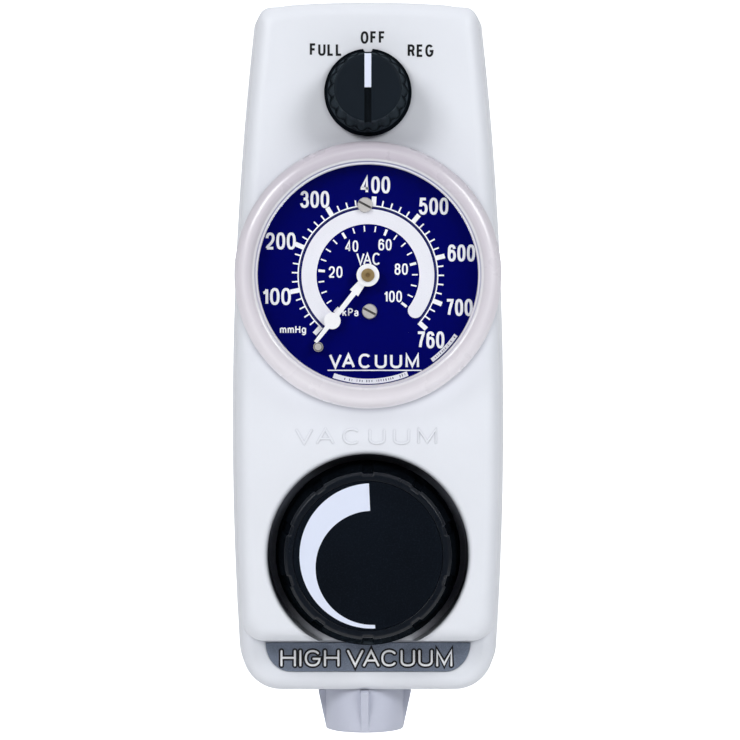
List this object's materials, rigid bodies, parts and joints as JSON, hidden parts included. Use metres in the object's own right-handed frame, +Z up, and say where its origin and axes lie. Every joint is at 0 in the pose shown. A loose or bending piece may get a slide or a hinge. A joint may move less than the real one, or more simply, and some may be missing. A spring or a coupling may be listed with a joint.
{
  "type": "suction regulator",
  "caption": "Wall-outlet suction regulator: tall bowed housing with a round vacuum gauge, a three-way selector knob, a regulating knob, a rear union nut and a bottom hose socket.",
  "frame": {"origin": "centre of the rear union nut's mouth, on the inlet axis", "axes": "+Y along the inlet towards the wall outlet, +Z up, +X to the right as seen from the front; the front faces -Y"},
  "size_m": [0.0686, 0.08, 0.1804],
  "materials": {
    "housing_white": "fine-textured moulded ABS, cool white",
    "outlet_white": "moulded nylon, cool white",
    "label_panel": "printed polycarbonate label, dark slate",
    "control_black": "glass-filled nylon, near black",
    "insert_black": "grained near-black insert",
    "mark_white": "pad-printed or moulded white",
    "lens_clear": "clear polycarbonate with a frosted rim",
    "dial_navy": "printed dial, navy, satin",
    "pointer_white": "painted aluminium, satin white",
    "gauge_case": "moulded, light grey",
    "brass": "machined brass",
    "spring_steel": "drawn spring wire",
    "steel": "zinc-plated steel",
    "chrome": "bright nickel-chrome plate",
    "aluminium": "machined and bead-blasted",
    "rubber": "nitrile",
    "bronze": "phosphor bronze, satin",
    "sinter": "sintered bronze, porous"
  },
  "bodies": {
    "root": {"front_housing": "housing_white", "back_cover": "housing_white", "housing_screws": "steel", "label_plate": "label_panel", "manifold_block": "aluminium", "manifold_screws": "steel", "inlet_nipple": "chrome", "inlet_filter": "sinter", "nipple_seal": "rubber", "outlet_port": "outlet_white", "outlet_seal": "rubber", "spool_retainer": "aluminium", "retainer_screws": "steel", "selector_stop_pin": "steel", "detent_spring": "spring_steel", "detent_plug": "steel", "range_spring": "spring_steel", "regulator_bonnet": "aluminium", "bonnet_screws": "steel", "diaphragm": "rubber", "valve_seat": "brass", "poppet_spring": "spring_steel", "valve_plug": "brass", "gauge_case": "gauge_case", "gauge_lens": "lens_clear", "gauge_seal": "rubber", "gauge_dial": "dial_navy", "dial_screws": "brass", "dial_posts": "brass", "pointer_stop_pin": "steel", "movement_front_plate": "brass", "movement_back_plate": "brass", "movement_pillars": "brass", "gauge_socket": "brass", "bourdon_tube": "bronze", "tube_tip": "brass", "hairspring": "bronze"},
    "inlet_nut": {"inlet_nut": "chrome"},
    "selector": {"selector_knob": "control_black", "selector_index": "mark_white", "selector_set_screw": "steel", "selector_spool": "brass", "spool_orings": "rubber"},
    "detent": {"detent_ball": "chrome"},
    "reg_knob": {"regulator_knob": "control_black", "knob_insert": "insert_black", "crescent_mark": "mark_white", "adjusting_screw": "brass"},
    "spring_seat": {"spring_seat": "brass"},
    "valve": {"diaphragm_plate": "aluminium", "valve_stem": "brass", "poppet_head": "rubber"},
    "pointer": {"pointer": "pointer_white", "pointer_arbor": "brass"},
    "sector": {"sector_gear": "brass", "sector_arbor": "steel"},
    "link": {"tip_link": "steel", "link_pin": "brass"}
  },
  "joints": [
    {"name": "inlet_nut_spin", "type": "hinge", "parent": "root", "child": "inlet_nut", "pos_m": [0, -0.01, 0], "axis": [0, 1, 0], "continuous": true},
    {"name": "selector_turn", "type": "hinge", "parent": "root", "child": "selector", "pos_m": [0, -0.068, 0.0264], "axis": [0, 1, 0], "range_deg": [-45, 45]},
    {"name": "detent_ball_travel", "type": "slide", "parent": "root", "child": "detent", "axis": [-1, 0, 0], "range_m": [0, 0.0002], "deforming": ["detent_spring"]},
    {"name": "regulator_turn", "type": "hinge", "parent": "root", "child": "reg_knob", "pos_m": [0, -0.068, -0.0843], "axis": [0, 1, 0], "range_deg": [0, 720]},
    {"name": "spring_seat_travel", "type": "slide", "parent": "root", "child": "spring_seat", "axis": [0, 1, 0], "range_m": [0, 0.00301], "deforming": ["range_spring"]},
    {"name": "valve_lift", "type": "slide", "parent": "root", "child": "valve", "axis": [0, 1, 0], "range_m": [0, 0.0008], "deforming": ["diaphragm", "poppet_spring", "range_spring"]},
    {"name": "pointer_sweep", "type": "hinge", "parent": "root", "child": "pointer", "pos_m": [0, -0.068, -0.0174], "axis": [0, 1, 0], "range_deg": [0, 274.5], "deforming": ["hairspring"]},
    {"name": "sector_swing", "type": "hinge", "parent": "root", "child": "sector", "pos_m": [0, -0.068, -0.0354], "axis": [0, 1, 0], "range_deg": [-34.4, 0]},
    {"name": "link_swing", "type": "hinge", "parent": "sector", "child": "link", "pos_m": [-0.006, -0.068, -0.0354], "axis": [0, 1, 0], "range_deg": [0, 34.4]}
  ],
  "couplings": [
    {"joint": "sector_swing", "follows": "pointer_sweep", "ratio": -0.125},
    {"joint": "link_swing", "follows": "pointer_sweep", "ratio": 0.125},
    {"joint": "spring_seat_travel", "follows": "regulator_turn", "m_per_rad": 0.00023873}
  ]
}
